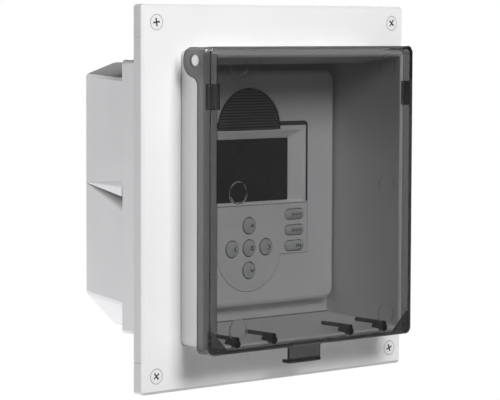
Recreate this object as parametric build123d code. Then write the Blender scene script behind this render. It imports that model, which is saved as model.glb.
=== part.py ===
from build123d import *
from math import cos, radians, sin, sqrt
import os

# Recessed keypad enclosure, in millimetres. X runs to the right seen from the front, Z is up, and Y points
# into the wall. The wall's surface is the plane Y = 0, and the origin is the middle of the cut-out in it.

# Trim frame and flange
frame_width = 210.0
frame_height = 225.0
frame_depth = 8.0
frame_bevel = 1.7
frame_corner = 2.5
frame_face = 2.6
frame_skirt = 2.2
score_height = 93.4
score_width = 0.5
score_depth = 0.35
gasket_thickness = 0.9
gasket_width = 11.0
flange_margin = 3.5
flange_thickness = frame_depth - frame_face - gasket_thickness
fit_gap = 0.25
wall_hole_radius = 2.3
wall_hole_x = 92.0
wall_hole_z = 60.0

# Corner screws of the frame
screw_inset = 10.4
screw_head_radius = 4.65
screw_shank_radius = 1.45
screw_sides = 28
screw_tip = -0.7
screw_clearance = 0.1
cross_length = 4.8
cross_width = 1.0
cross_depth = 1.5
screw_turns = [8.0, 52.0, 38.0, 20.0]

# Collar and recess of the wall box
collar_width = 152.4
collar_height = 171.2
collar_corner = 3.0
rim_y = -36.3
rim_edge = 1.1
wall = 2.5
neck_top = 79.8
neck_bottom = -84.2
neck_back = 47.2
recess_half_front = 73.7
recess_half_back = 73.2
recess_top_front = 82.2
recess_top_middle = 77.6
recess_top_back = 76.8
recess_floor_front = -83.9
recess_floor_back = -80.4
recess_back = 28.5
inner_wall = 2.8

# Rear wiring box behind the neck
rear_back = 86.0
rear_wall = 2.6
rear_half_front = 75.2
rear_half_back = 74.4
eaves_front = 68.3
eaves_back = 70.7
roof_half = 52.0
roof_slope = 0.32
chamfer_top_front = -67.0
chamfer_top_back = -63.0
chamfer_slope = 0.926
rear_edge = 1.4
wedge_rib_height = 6.4
wedge_rib_proud = 1.4
entry_radius = 11.1
entry_y = 66.0

# Window in the recess wall and the keypad's fixing points
window_half = 53.5
window_bottom = -63.5
window_top = 65.5
fixing_x = 60.0
fixing_pilot_radius = 1.35

# Cover and its hinge
pivot_y = -26.0
pivot_z = 80.4
pivot_radius = 3.15
pivot_play = 0.07
ear_radius = 10.0
ear_blend = 5.0
cover_width = 163.2
cover_height = 176.8
cover_corner = 4.0
cover_front = -40.4
cover_back = -28.4
cover_top_back = -34.0
cover_wall = 2.4
cover_floor = 2.2
cover_bevels = [1.0, 0.45]
finger_places = [-59.5, -31.0, 31.0, 59.5]
finger_rod_z = -80.4
finger_rod_radius = 1.35
finger_foot_z = -83.2
finger_foot_radius = 2.3
finger_foot_back = -29.0
finger_tip = -13.0
finger_notch_half = 3.0
block_top = 67.0
block_bottom = 52.6
gusset_leg = 12.0

# Latch tab
latch_axis_y = -36.5
latch_axis_z = -87.3
latch_thickness = 1.8
latch_half_top = 15.6
latch_half = 12.5
latch_bottom = -99.6
latch_slot_gap = 0.35
latch_tab_front = -31.9
lip_back = -25.6
lip_height = 2.2

# Keypad housing
face_y = 20.0
housing_half = 71.6
housing_bottom = -70.6
housing_top = 73.0
housing_corner = 7.0
housing_bevels = [2.0, 0.8]
housing_shell = 2.2
housing_back = 28.5
groove_half = 48.5
groove_top = 41.7
groove_corner = 3.0
groove_depth = 1.4
border_half = 46.9
border_top = 39.0
dish_half = 43.9
dish_bottom = -8.4
dish_top = 36.0
dish_depth = 3.0
opening_half = 34.4
opening_bottom = -7.2
opening_top = 31.4
lens_lap = 1.0
lens_lip = 1.0
lens_thickness = 1.0

# Speaker grille
grille_radius = 25.7
grille_centre = 36.8
grille_flat = 37.0
grille_pitch = 1.75
grille_rib = 0.95
grille_crown = 1.5

# Key panel and keys
panel_half = 48.3
panel_top = -9.2
panel_step = -40.4
lobe_radius = 26.3
lobe_centre = -35.6
key_radius = 5.2
key_sides = 28
key_gap = 0.2
key_proud = 0.9
key_travel = 0.8
key_pitch = 13.7
key_centre = -35.2
pill_x = 37.2
pill_length = 15.6
pill_height = 6.4
pill_heights = [-16.1, -25.9, -35.7]
panel_flange_back = 23.2
key_flange = 0.8
mat_dome_front = 25.8
mat_front = 26.6
mat_thickness = 1.0

# Board, casing and the pieces on them
board_front = 27.7
board_thickness = 1.6
board_half = 48.0
board_bottom = -58.0
board_top = 60.0
casing_flange_front = 26.4
casing_half = 66.0
casing_bottom = -67.0
casing_top = 69.0
pan_half = 52.5
pan_bottom = -62.5
pan_top = 64.5
pan_wall = 2.0
pan_back = 44.0
hook_heights = [44.0, -42.0]


def front_plane(y):
    return Plane(origin=(0, y, 0), x_dir=(1, 0, 0), z_dir=(0, -1, 0))


def slab(sketch, y_front, y_back):
    """Extrude a front-view outline from y_back forward to y_front."""
    return extrude(front_plane(y_back) * sketch, amount=y_back - y_front)


def side_plate(sketch, x_start, x_end):
    """Extrude a side-view outline, drawn in Y and Z, from x_start to x_end."""
    return extrude(Plane.YZ.offset(x_start) * sketch, amount=x_end - x_start)


def span(left, right, bottom, top, corner):
    """Give a rounded front-view rectangle between four edges."""
    outline = RectangleRounded(right - left, top - bottom, corner)
    return Pos((left + right) / 2, (bottom + top) / 2) * outline


def window(half, bottom, top):
    """Give a sharp-cornered front-view rectangle that is centred in X."""
    return Pos(0, (bottom + top) / 2) * Rectangle(2 * half, top - bottom)


def peg(x, z, radius, y_front, y_back):
    """Give a round bar along Y."""
    return slab(Pos(x, z) * Circle(radius), y_front, y_back)


def stud(x, z, radius, y_front, y_back):
    """Give a small sixteen-sided bar along Y, for a peg, shank or pilot hole that is out of sight."""
    return slab(Pos(x, z) * RegularPolygon(radius, 16), y_front, y_back)


def tapered(*sections):
    """Loft between straight-sided outlines, each given with its Y, and make every side a flat face."""
    lofted = loft([front_plane(y) * outline for y, outline in sections], ruled=True)
    return Solid(Shell([Face(face.outer_wire()) for face in lofted.faces()]))


def brick(x_range, y_range, z_range):
    """Give a plain block between three pairs of limits."""
    middle = [sum(pair) / 2 for pair in (x_range, y_range, z_range)]
    size = [pair[1] - pair[0] for pair in (x_range, y_range, z_range)]
    return Pos(*middle) * Box(*size)


def corners(x, z):
    return [(-x, z), (x, z), (-x, -z), (x, -z)]


frame_screw_places = corners(frame_width / 2 - screw_inset, frame_height / 2 - screw_inset)
fixing_places = [(-fixing_x, window_bottom + 6), (fixing_x, window_top - 6)]
wall_hole_places = corners(wall_hole_x, wall_hole_z)


def cross_recess(length, width, depth, y_face, x, z, turn):
    """Give the two crossing slots of a screw head."""
    arms = Rectangle(length, width) + Rectangle(width, length)
    return slab(Pos(x, z) * Rot(0, 0, turn) * arms, y_face - 0.5, y_face + depth)


def screw_cone(x, z, y_front, grow):
    """Give the countersunk head's cone in many flat sides, or with grow above zero the sink that it fits."""
    wide = Pos(x, z) * RegularPolygon(screw_head_radius + grow, screw_sides)
    narrow = Pos(x, z) * RegularPolygon(screw_shank_radius + grow, screw_sides)
    return tapered((y_front, wide), (y_front + frame_face, narrow))


def rear_outline(y, inset):
    """Give the eight-cornered section of the rear box at depth y, drawn in by inset."""
    share = (y - neck_back) / (rear_back - neck_back)
    half = rear_half_front + share * (rear_half_back - rear_half_front)
    eaves = eaves_front + share * (eaves_back - eaves_front)
    chamfer_top = chamfer_top_front + share * (chamfer_top_back - chamfer_top_front)
    roof = eaves + roof_slope * (half - roof_half)
    bottom_half = half - (chamfer_top - neck_bottom) / chamfer_slope
    right = [(roof_half, roof), (half, eaves), (half, chamfer_top), (bottom_half, neck_bottom)]
    left = [(-x, z) for x, z in reversed(right)]
    outline = make_face(Polyline(*right, *left, close=True))
    if inset:
        outline = offset(outline, amount=-inset, kind=Kind.INTERSECTION)
    return outline


def rear_body(y_front, y_back, inset):
    """Give the rear box between the neck and its back wall."""
    return tapered(*[(y, rear_outline(y, inset)) for y in (y_front, y_back)])


def recess_hollow():
    """Give the drafted recess that holds the keypad; its roof falls towards the back."""
    share = -rim_y / (recess_back - rim_y)
    half = recess_half_front + share * (recess_half_back - recess_half_front)
    floor = recess_floor_front + share * (recess_floor_back - recess_floor_front)
    return tapered(
        (rim_y, window(recess_half_front, recess_floor_front, recess_top_front)),
        (0, window(half, floor, recess_top_middle)),
        (recess_back, window(recess_half_back, recess_floor_back, recess_top_back)))


def recess_mouth():
    """Give the bevel that runs round the recess at the collar's rim."""
    return tapered(*[
        (rim_y + 1 - grow, window(recess_half_front + grow, recess_floor_front - grow, recess_top_front + grow))
        for grow in (1.5, 0)])


def hinge_stub(side):
    """Give one stub pin on which the cover's ear turns."""
    at_pivot = Plane.YZ.offset(side * (collar_width / 2 - 1))
    reach = (cover_width - collar_width) / 2 + 1 - 0.2
    pin = extrude(at_pivot * Pos(pivot_y, pivot_z) * Circle(pivot_radius), amount=side * reach)
    return chamfer(pin.edges().group_by(Axis.X)[-1 if side > 0 else 0], 0.5)


def wedge_rib(side):
    """Give the rib on the rear box's side: a point at the back, wider and prouder towards the neck."""
    outline = make_face(Polyline(
        (rear_back - 0.6, 4.9), (neck_back, 2.9), (neck_back, 2.9 - wedge_rib_height), close=True))
    plate = side_plate(outline, side * (rear_half_back - 1), side * (rear_half_front + wedge_rib_proud))
    seen_from_above = make_face(Polyline(
        (side * (rear_half_back - 2), rear_back), (side * rear_half_back, rear_back - 0.6),
        (side * (rear_half_front + wedge_rib_proud), neck_back),
        (side * (rear_half_back - 2), neck_back), close=True))
    return plate & extrude(Plane.XY.offset(-10) * seen_from_above, amount=20)


def make_wall_box():
    collar = slab(RectangleRounded(collar_width, collar_height, collar_corner), rim_y, 0)
    collar = chamfer(collar.faces().sort_by(Axis.Y)[0].edges(), rim_edge)
    flange = slab(
        Rectangle(frame_width - 2 * flange_margin, frame_height - 2 * flange_margin), -flange_thickness, 0)
    half = collar_width / 2
    neck = slab(span(-half, half, neck_bottom, neck_top, 2.5), -flange_thickness, neck_back)
    rear = rear_body(neck_back - 1, rear_back, 0)
    rear = chamfer(rear.edges().filter_by(lambda e: e.center().Y > neck_back), rear_edge)
    body = collar + flange + neck + rear

    neck_room = slab(
        window(half - wall - 0.3, neck_bottom + inner_wall, neck_top - inner_wall),
        recess_back + inner_wall, neck_back - inner_wall)
    rear_room = rear_body(neck_back - inner_wall - 0.5, rear_back - rear_wall, rear_wall)
    body = body - recess_hollow() - recess_mouth()
    pan_window = slab(window(window_half, window_bottom, window_top), recess_back - 1,
                      recess_back + inner_wall + 1)
    body = body - neck_room - rear_room - pan_window

    for x, z in fixing_places:
        body = body - stud(x, z, fixing_pilot_radius, recess_back - 1, recess_back + inner_wall + 1)
    for x, z in frame_screw_places:
        body = body - stud(x, z, screw_shank_radius, -flange_thickness - 1, screw_tip + 0.3)
    for x, z in wall_hole_places:
        body = body - peg(x, z, wall_hole_radius, -flange_thickness - 1, 1)

    entry = Pos(0, entry_y, neck_bottom) * Cylinder(entry_radius, 12)
    keeper = brick((-11, 11), (-30.8, -28.2), (-collar_height / 2 - 1, -collar_height / 2 + 0.7))
    body = body - entry - keeper
    for x in finger_places:
        body = body - brick((x - finger_notch_half, x + finger_notch_half), (rim_y - 1, finger_foot_back + 0.8),
                            (-collar_height / 2 - 1, recess_floor_front + 3))
    for side in (-1, 1):
        body = body + hinge_stub(side) + wedge_rib(side)
    return body


def make_trim_frame():
    frame = slab(RectangleRounded(frame_width, frame_height, frame_corner), -frame_depth, 0)
    frame = chamfer(frame.faces().sort_by(Axis.Y)[0].edges(), frame_bevel)
    pocket = slab(
        Rectangle(frame_width - 2 * frame_skirt, frame_height - 2 * frame_skirt), -frame_depth + frame_face, 1)
    opening = slab(
        RectangleRounded(collar_width + 2 * fit_gap, collar_height + 2 * fit_gap, collar_corner + fit_gap),
        -frame_depth - 1, 1)
    frame = frame - pocket - opening
    for x, z in frame_screw_places:
        frame = frame - screw_cone(x, z, -frame_depth, screw_clearance)
    for side in (-1, 1):
        edge = side * frame_width / 2
        for z in (-score_height, score_height):
            frame = frame - brick(
                sorted((edge, edge - side * score_depth)), (-frame_depth, 0),
                (z - score_width / 2, z + score_width / 2))
    return frame


def make_trim_gasket():
    inner_width = collar_width + 1.5
    inner_height = collar_height + 1.5
    outer = Rectangle(inner_width + 2 * gasket_width, inner_height + 2 * gasket_width)
    ring = outer - Rectangle(inner_width, inner_height)
    return slab(ring, -flange_thickness - gasket_thickness, -flange_thickness)


def flat_head_screw(x, z, turn):
    """Give one countersunk screw with its cross recess."""
    top = -frame_depth + 0.05
    screw = screw_cone(x, z, top, 0) + stud(x, z, screw_shank_radius - 0.05, top + frame_face - 0.5, screw_tip)
    return screw - cross_recess(cross_length, cross_width, cross_depth, top, x, z, turn)


def casing_screw(x, z):
    """Give one hexagon-headed screw that holds the rear casing to the recess wall."""
    head = slab(Pos(x, z) * RegularPolygon(3.0, 6), casing_flange_front - 2, casing_flange_front)
    return head + stud(x, z, fixing_pilot_radius - 0.05, casing_flange_front - 1, recess_back + 5)


def ear_outline():
    """Draw the ear: a disc round the pivot that runs into the cover's side by a hollow curve."""
    blend_y = cover_back + ear_blend
    reach = ear_radius + ear_blend
    blend_z = pivot_z - sqrt(reach ** 2 - (blend_y - pivot_y) ** 2)
    join_y = pivot_y + (blend_y - pivot_y) * ear_radius / reach
    join_z = pivot_z + (blend_z - pivot_z) * ear_radius / reach
    middle = radians(140)
    top = cover_height / 2
    top_y = pivot_y + sqrt(ear_radius ** 2 - (top - pivot_z) ** 2)
    foot = blend_z - 8
    edges = [
        Polyline((cover_top_back, foot), (cover_back, foot), (cover_back, blend_z)),
        ThreePointArc(
            (cover_back, blend_z),
            (blend_y + ear_blend * cos(middle), blend_z + ear_blend * sin(middle)), (join_y, join_z)),
        ThreePointArc((join_y, join_z), (pivot_y + ear_radius, pivot_z), (top_y, top)),
        Polyline((top_y, top), (cover_top_back, top), (cover_top_back, foot)),
    ]
    return make_face(Wire(Curve(children=edges).edges()))


def cover_finger(x):
    """Give one finger: a foot that fills a notch of the collar, and a slimmer rod higher up behind it."""
    rod = stud(x, finger_rod_z, finger_rod_radius, cover_front + cover_wall - 0.4, finger_tip)
    return rod + stud(x, finger_foot_z, finger_foot_radius, cover_front + cover_wall - 0.4, finger_foot_back)


def corner_block(side):
    """Give the thick block in the cover's front corner that steadies it on the collar's rim."""
    inner = cover_front + cover_wall - 0.4
    wide = brick(sorted((side * 73.4, side * 79.6)), (inner, rim_y - 0.4), (block_bottom, block_top))
    deep = brick(sorted((side * 76.8, side * 79.6)), (inner, rim_y + 1.2), (block_bottom, block_top))
    return wide + deep


def corner_gusset(side):
    """Give the three-cornered web in a bottom corner of the cover."""
    x = side * (cover_width / 2 - cover_wall)
    z = -cover_height / 2 + cover_floor
    web = make_face(Polyline((x, z), (x - side * gusset_leg, z), (x, z + gusset_leg), close=True))
    return slab(web, cover_front + cover_wall - 0.4, rim_y - 0.4)


def make_cover():
    outline = RectangleRounded(cover_width, cover_height, cover_corner)
    shell = slab(outline, cover_front, cover_back)
    for bevel in cover_bevels:
        shell = chamfer(shell.faces().sort_by(Axis.Y)[0].edges(), bevel)
    hollow = RectangleRounded(cover_width - 2 * cover_wall, cover_height - 2 * cover_floor, 2.2)
    shell = shell - slab(hollow, cover_front + cover_wall, cover_back + 1)
    inside = cover_width / 2 - cover_wall
    shell = shell - brick((-inside, inside), (cover_top_back, cover_back + 1), (80, cover_height / 2 + 1))
    envelope = slab(outline, cover_front + 3, pivot_y + ear_radius + 1)
    for side in (-1, 1):
        ear = side_plate(ear_outline(), side * inside, side * cover_width / 2) & envelope
        shell = shell + ear + corner_block(side) + corner_gusset(side)
    for side in (-1, 1):
        hole = extrude(
            Plane.YZ.offset(side * (inside - 1)) * Pos(pivot_y, pivot_z) * Circle(pivot_radius + pivot_play),
            amount=side * 5)
        ring = extrude(
            Plane.YZ.offset(side * (cover_width / 2 - 0.6)) * Pos(pivot_y, pivot_z) * Circle(4.1),
            amount=side * 2)
        shell = shell - hole - ring
    for x in finger_places:
        shell = shell + cover_finger(x)
    gap = latch_half_top + latch_slot_gap
    slot = brick((-gap, gap), (latch_axis_y - latch_thickness / 2 - latch_slot_gap, cover_back + 1),
                 (-cover_height / 2 - 1, -cover_height / 2 + cover_floor + 0.5))
    return shell - slot


def make_latch():
    top = latch_axis_z + latch_thickness / 2
    under = latch_axis_z - latch_thickness / 2
    tongue = brick((-latch_half_top, latch_half_top), (latch_axis_y, cover_back - 0.1), (under, top))
    root = extrude(Plane.YZ.offset(-latch_half_top) * Pos(latch_axis_y, latch_axis_z)
                   * Circle(latch_thickness / 2), amount=2 * latch_half_top)
    flare = latch_half_top - latch_half
    edges = [
        Line((-latch_half_top, under + 0.2), (latch_half_top, under + 0.2)),
        ThreePointArc(
            (latch_half_top, under + 0.2), (latch_half + 0.3 * flare, under - 0.3 * flare),
            (latch_half, under - flare)),
        Polyline((latch_half, under - flare), (latch_half, latch_bottom + 1), (latch_half - 1, latch_bottom),
                 (1 - latch_half, latch_bottom), (-latch_half, latch_bottom + 1), (-latch_half, under - flare)),
        ThreePointArc(
            (-latch_half, under - flare), (-latch_half - 0.3 * flare, under - 0.3 * flare),
            (-latch_half_top, under + 0.2)),
    ]
    tab = slab(make_face(Wire(Curve(children=edges).edges())), latch_tab_front,
               latch_tab_front + latch_thickness)
    lip = brick((-latch_half, latch_half), (latch_tab_front - 0.4, lip_back),
                (latch_bottom, latch_bottom + lip_height))
    lip = fillet(lip.edges().filter_by(Axis.X), 0.9)
    nose = side_plate(
        make_face(Polyline((-30.6, top - 0.1), (-29.2, top + 0.4), (-28.6, top - 0.1), close=True)), -10, 10)
    return tongue + root + tab + lip + nose


def housing_outline():
    return span(-housing_half, housing_half, housing_bottom, housing_top, housing_corner)


def grille_outline(radius, flat):
    """Draw the half-round over the display, cut off level at flat."""
    disc = Pos(0, grille_centre) * Circle(radius)
    return disc & Pos(0, flat + 50) * Rectangle(100, 100)


def panel_outline(grow):
    """Draw the key panel: a wide block with a round lobe hanging from its middle."""
    block = Pos(0, (panel_top + panel_step) / 2) * Rectangle(
        2 * (panel_half + grow), panel_top - panel_step + 2 * grow)
    lobe = Pos(0, lobe_centre) * Circle(lobe_radius + grow)
    below = Pos(0, panel_top + grow - 50) * Rectangle(200, 100)
    return (block + lobe) & below


def display_groove():
    """Give the groove that runs up, over and down round the display's flat border."""
    outer = span(-groove_half, groove_half, dish_bottom - 10, groove_top, groove_corner)
    above_panel = window(groove_half + 1, dish_bottom, groove_top + 1)
    ring = (outer & above_panel) - window(border_half, dish_bottom - 1, border_top)
    return slab(ring, face_y - 1, face_y + groove_depth)


def make_keypad_housing():
    shell = slab(housing_outline(), face_y, housing_back)
    for bevel in housing_bevels:
        shell = chamfer(shell.faces().sort_by(Axis.Y)[0].edges(), bevel)
    inner = offset(housing_outline(), amount=-housing_shell)
    shell = shell - slab(inner, face_y + housing_shell, housing_back + 1)
    back = face_y + dish_depth + lens_lip + lens_thickness
    shell = shell + slab(window(groove_half + 0.8, dish_bottom - 1.5, groove_top + 1), face_y + 1, back)
    dish = tapered(
        (face_y, window(dish_half, dish_bottom, dish_top)),
        (face_y + dish_depth, window(opening_half, opening_bottom, opening_top)))
    through = window(opening_half, opening_bottom, opening_top)
    lap = lens_lap + 0.1
    pocket = window(opening_half + lap, opening_bottom - lap, opening_top + lap)
    shell = shell - dish - display_groove() - slab(through, face_y + dish_depth - 0.5, back + 1)
    shell = shell - slab(pocket, face_y + dish_depth + lens_lip, back + 1)
    shell = shell - slab(grille_outline(grille_radius + 0.15, grille_flat - 0.15), face_y - 1, back + 1)
    shell = shell - slab(panel_outline(fit_gap), face_y - 1, back + 1)
    for side in (-1, 1):
        clip = side_plate(Pos(27.0, 0) * Rectangle(2.6, 24), side * (casing_half + 0.2),
                          side * (housing_half - 1))
        shell = shell + clip
    return shell


def make_speaker_grille():
    plate = slab(grille_outline(grille_radius, grille_flat), face_y + 0.3, face_y + housing_shell + 0.1)
    flange = grille_outline(grille_radius + 1.3, groove_top + 1.4)
    plate = plate + slab(flange, face_y + housing_shell + 0.05, face_y + housing_shell + 0.9)
    rows = int((grille_radius - 1.0) / grille_pitch)
    for row in range(rows):
        z = grille_flat + 0.3 + row * grille_pitch
        half = sqrt(grille_radius ** 2 - (z + grille_rib - grille_centre) ** 2) - 0.25
        crest = face_y + 0.3 - grille_crown
        slope = min(4.5, 0.45 * half)
        rib = make_face(Polyline(
            (-half, face_y + 0.5), (slope - half, crest), (half - slope, crest), (half, face_y + 0.5),
            close=True))
        plate = plate + extrude(Plane.XY.offset(z) * rib, amount=grille_rib)
    return plate


def make_display_lens():
    front = face_y + dish_depth + lens_lip
    lens = slab(
        window(opening_half + lens_lap, opening_bottom - lens_lap, opening_top + lens_lap),
        front, front + lens_thickness)
    raised = window(opening_half - 0.1, opening_bottom + 0.1, opening_top - 0.1)
    return lens + slab(raised, front - lens_lip + 0.1, front + 0.5)


def round_key_places():
    return {
        "key_up": (0, key_centre + key_pitch), "key_left": (-key_pitch, key_centre),
        "key_centre": (0, key_centre), "key_right": (key_pitch, key_centre),
        "key_down": (0, key_centre - key_pitch)}


def pill_key_places():
    names = ["key_pill_top", "key_pill_middle", "key_pill_bottom"]
    return {name: (pill_x, z) for name, z in zip(names, pill_heights)}


def make_key_panel():
    panel = slab(panel_outline(0), face_y, panel_flange_back)
    lap_front = face_y + housing_shell + 0.05
    for side in (-1, 1):
        panel = panel + brick(
            sorted((side * (panel_half - 1), side * (panel_half + 2))), (lap_front, panel_flange_back),
            (panel_step + 4, panel_top - 6))
    foot = lobe_centre - lobe_radius
    panel = panel + brick((-6, 6), (lap_front, panel_flange_back), (foot - 2, foot + 3))
    for x, z in round_key_places().values():
        hole = Pos(x, z) * RegularPolygon(key_radius + key_gap, key_sides)
        panel = panel - slab(hole, face_y - 1, panel_flange_back + 1)
    for x, z in pill_key_places().values():
        hole = Pos(x, z) * SlotOverall(pill_length + 2 * key_gap, pill_height + 2 * key_gap)
        panel = panel - slab(hole, face_y - 1, panel_flange_back + 1)
    return panel


def make_key(outline, x, z, reach):
    """Give one key: a cap with a bevelled edge, two lugs behind the panel and a foot on the mat."""
    lug = panel_flange_back + 0.1
    cap = slab(Pos(x, z) * outline, face_y - key_proud, lug + 0.2)
    cap = chamfer(cap.faces().sort_by(Axis.Y)[0].edges(), 0.45)
    lugs = brick((x - reach, x + reach), (lug, lug + key_flange), (z - 1.6, z + 1.6))
    return cap + lugs + brick((x - 2, x + 2), (lug, lug + key_flange + 0.8), (z - 1.6, z + 1.6))


def make_keymat():
    wide = Pos(0, (panel_top + panel_step) / 2) * Rectangle(2 * panel_half - 4, panel_top - panel_step - 4)
    low = Pos(0, -48) * Rectangle(36, 20)
    mat = slab(wide + low, mat_front, mat_front + mat_thickness)
    for x, z in [*round_key_places().values(), *pill_key_places().values()]:
        mat = mat + tapered(
            (mat_dome_front, Pos(x, z) * Rectangle(4.6, 3.6)), (mat_front + 0.2, Pos(x, z) * Rectangle(7.6, 6.0)))
    return mat


def make_circuit_board():
    board = slab(window(board_half, board_bottom, board_top), board_front, board_front + board_thickness)
    for z in hook_heights:
        notch = brick((-board_half - 1, 1 - board_half), (board_front - 1, board_front + 3), (z - 3.2, z + 3.2))
        board = board - notch - mirror(notch, Plane.YZ)
    return board


def make_lcd_module():
    frame = slab(window(37, -9.4, 33.6), 25.4, board_front)
    return frame + slab(window(33.5, -6.4, 30.6), 25.1, 25.6)


def make_sounder():
    can = peg(0, 48.0, 10.5, 23.6, board_front)
    return can + stud(0, 48.0, 3.0, 23.3, 24.0)


def make_terminal_block():
    back = board_front + board_thickness
    block = brick((-18, 18), (back, back + 10), (-42, -30))
    for pole in range(6):
        x = -15 + 6 * pole
        block = block - brick((x - 1.9, x + 1.9), (back + 2, back + 8), (-43, -37.5))
        block = block - brick((x - 0.5, x + 0.5), (back + 8.8, back + 11), (-36.0, -31.6))
    return block


def board_hook(z):
    """Give one snap hook: a shelf behind the board and a nose over its front edge."""
    wall_x = pan_half - pan_wall + 0.5
    behind = board_front + board_thickness
    outline = make_face(Polyline(
        (wall_x, board_front - 1.2), (board_half - 0.3, board_front - 0.3), (board_half - 0.3, board_front),
        (board_half + 0.3, board_front), (board_half + 0.3, behind), (board_half - 2, behind),
        (board_half - 2, behind + 2), (wall_x, behind + 4), close=True))
    return extrude(Plane.XY.offset(z - 3) * outline, amount=6)


def make_rear_casing():
    flange = slab(window(casing_half, casing_bottom, casing_top), casing_flange_front, recess_back)
    pan = slab(window(pan_half, pan_bottom, pan_top), casing_flange_front, pan_back)
    pan = chamfer(pan.faces().sort_by(Axis.Y)[-1].edges(), 1.5)
    room = slab(window(pan_half - pan_wall, pan_bottom + pan_wall, pan_top - pan_wall),
                casing_flange_front - 1, pan_back - pan_wall)
    casing = flange + pan - room
    for z in hook_heights:
        hook = board_hook(z)
        casing = casing + hook + mirror(hook, Plane.YZ)
    for x, z in fixing_places:
        casing = casing - stud(x, z, fixing_pilot_radius + 0.25, casing_flange_front - 1, recess_back + 1)
    for row in range(4):
        z = 40.0 - 6.0 * row
        casing = casing - brick((-18, 18), (pan_back - pan_wall - 1, pan_back + 1), (z - 1.5, z + 1.5))
    return casing - brick((-20, 20), (pan_back - pan_wall - 1, pan_back + 1), (-46, -34))


def build_nodes():
    nodes = {
        "wall_box": make_wall_box(),
        "trim_frame": make_trim_frame(),
        "trim_gasket": make_trim_gasket(),
        "cover": make_cover(),
        "latch": make_latch(),
        "keypad_housing": make_keypad_housing(),
        "speaker_grille": make_speaker_grille(),
        "display_lens": make_display_lens(),
        "key_panel": make_key_panel(),
        "keymat": make_keymat(),
        "circuit_board": make_circuit_board(),
        "lcd_module": make_lcd_module(),
        "sounder": make_sounder(),
        "terminal_block": make_terminal_block(),
        "rear_casing": make_rear_casing(),
    }
    for name, place in round_key_places().items():
        nodes[name] = make_key(RegularPolygon(key_radius, key_sides), *place, key_radius + 1.05)
    for name, place in pill_key_places().items():
        nodes[name] = make_key(SlotOverall(pill_length, pill_height), *place, pill_length / 2 + 1)
    nodes["trim_screws"] = Compound(children=[
        flat_head_screw(x, z, turn) for (x, z), turn in zip(frame_screw_places, screw_turns)])
    nodes["casing_screws"] = Compound(children=[casing_screw(x, z) for x, z in fixing_places])
    return nodes


os.makedirs("parts", exist_ok=True)
for node_name, solid in build_nodes().items():
    export_step(solid, f"parts/{node_name}.step")
    print(node_name, round(solid.volume, 1))
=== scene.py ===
import math
import bmesh
import bpy
import numpy as np
from mathutils import Matrix, Vector


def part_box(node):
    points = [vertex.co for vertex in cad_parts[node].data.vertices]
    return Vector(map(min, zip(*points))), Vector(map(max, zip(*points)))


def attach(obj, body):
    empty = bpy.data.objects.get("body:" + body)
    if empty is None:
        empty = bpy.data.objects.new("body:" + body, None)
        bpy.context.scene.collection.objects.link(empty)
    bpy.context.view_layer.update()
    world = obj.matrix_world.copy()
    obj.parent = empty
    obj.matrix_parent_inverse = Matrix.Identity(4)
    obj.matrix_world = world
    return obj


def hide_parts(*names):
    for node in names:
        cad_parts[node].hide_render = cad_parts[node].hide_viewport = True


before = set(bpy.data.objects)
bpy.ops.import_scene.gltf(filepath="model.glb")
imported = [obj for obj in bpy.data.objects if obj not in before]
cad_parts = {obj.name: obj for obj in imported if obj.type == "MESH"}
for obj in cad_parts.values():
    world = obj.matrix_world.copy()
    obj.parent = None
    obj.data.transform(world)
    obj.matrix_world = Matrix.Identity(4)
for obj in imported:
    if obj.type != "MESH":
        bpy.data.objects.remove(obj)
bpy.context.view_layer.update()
scene = bpy.context.scene

mm = 0.001   # the pieces are stated in millimetres and built in metres


# Small helpers for node trees

def startMaterial(name):
    # an empty node material with a Principled shader on its output
    material = bpy.data.materials.new(name)
    material.use_nodes = True
    tree = material.node_tree
    return material, tree, tree.nodes["Principled BSDF"]


def addNode(tree, kind, **values):
    # a node with its settings; its sockets' values come in the dictionary "sockets", by the sockets' names
    node = tree.nodes.new(kind)
    sockets = values.pop("sockets", {})
    for key, value in values.items():
        setattr(node, key, value)
    for key, value in sockets.items():
        node.inputs[key].default_value = value
    return node


def addMath(tree, operation, *values, clamp=False):
    # one Math node; the values are sockets or numbers
    node = addNode(tree, "ShaderNodeMath", operation=operation, use_clamp=clamp)
    for slot, value in zip(node.inputs, values):
        if isinstance(value, (int, float)):
            slot.default_value = value
        else:
            tree.links.new(value, slot)
    return node.outputs[0]


def addReach(tree, first, second):
    # the length of a flat vector with these two parts
    squares = [addMath(tree, "POWER", part, 2.0) for part in (first, second)]
    return addMath(tree, "SQRT", addMath(tree, "ADD", *squares))


def addRange(tree, value, fromLow, fromHigh, toLow, toHigh):
    # a value mapped from one range to another and held between its ends
    node = addNode(tree, "ShaderNodeMapRange", clamp=True)
    limits = {"From Min": fromLow, "From Max": fromHigh, "To Min": toLow, "To Max": toHigh}
    for key, number in limits.items():
        node.inputs[key].default_value = number
    tree.links.new(value, node.inputs["Value"])
    return node.outputs["Result"]


def addBlend(tree, mask, first, second):
    # a colour that runs from first, a tone or a socket, to the tone second as the mask goes from 0 to 1
    node = addNode(tree, "ShaderNodeMix", data_type="RGBA")
    if isinstance(first, tuple):
        node.inputs["A"].default_value = (*first, 1)
    else:
        tree.links.new(first, node.inputs["A"])
    node.inputs["B"].default_value = (*second, 1)
    tree.links.new(mask, node.inputs["Factor"])
    return node.outputs["Result"]


def addTexture(tree, kind, vector, sockets):
    # a texture or mapping that reads the given vector
    node = addNode(tree, kind, sockets=sockets)
    tree.links.new(vector, node.inputs["Vector"])
    return node


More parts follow.
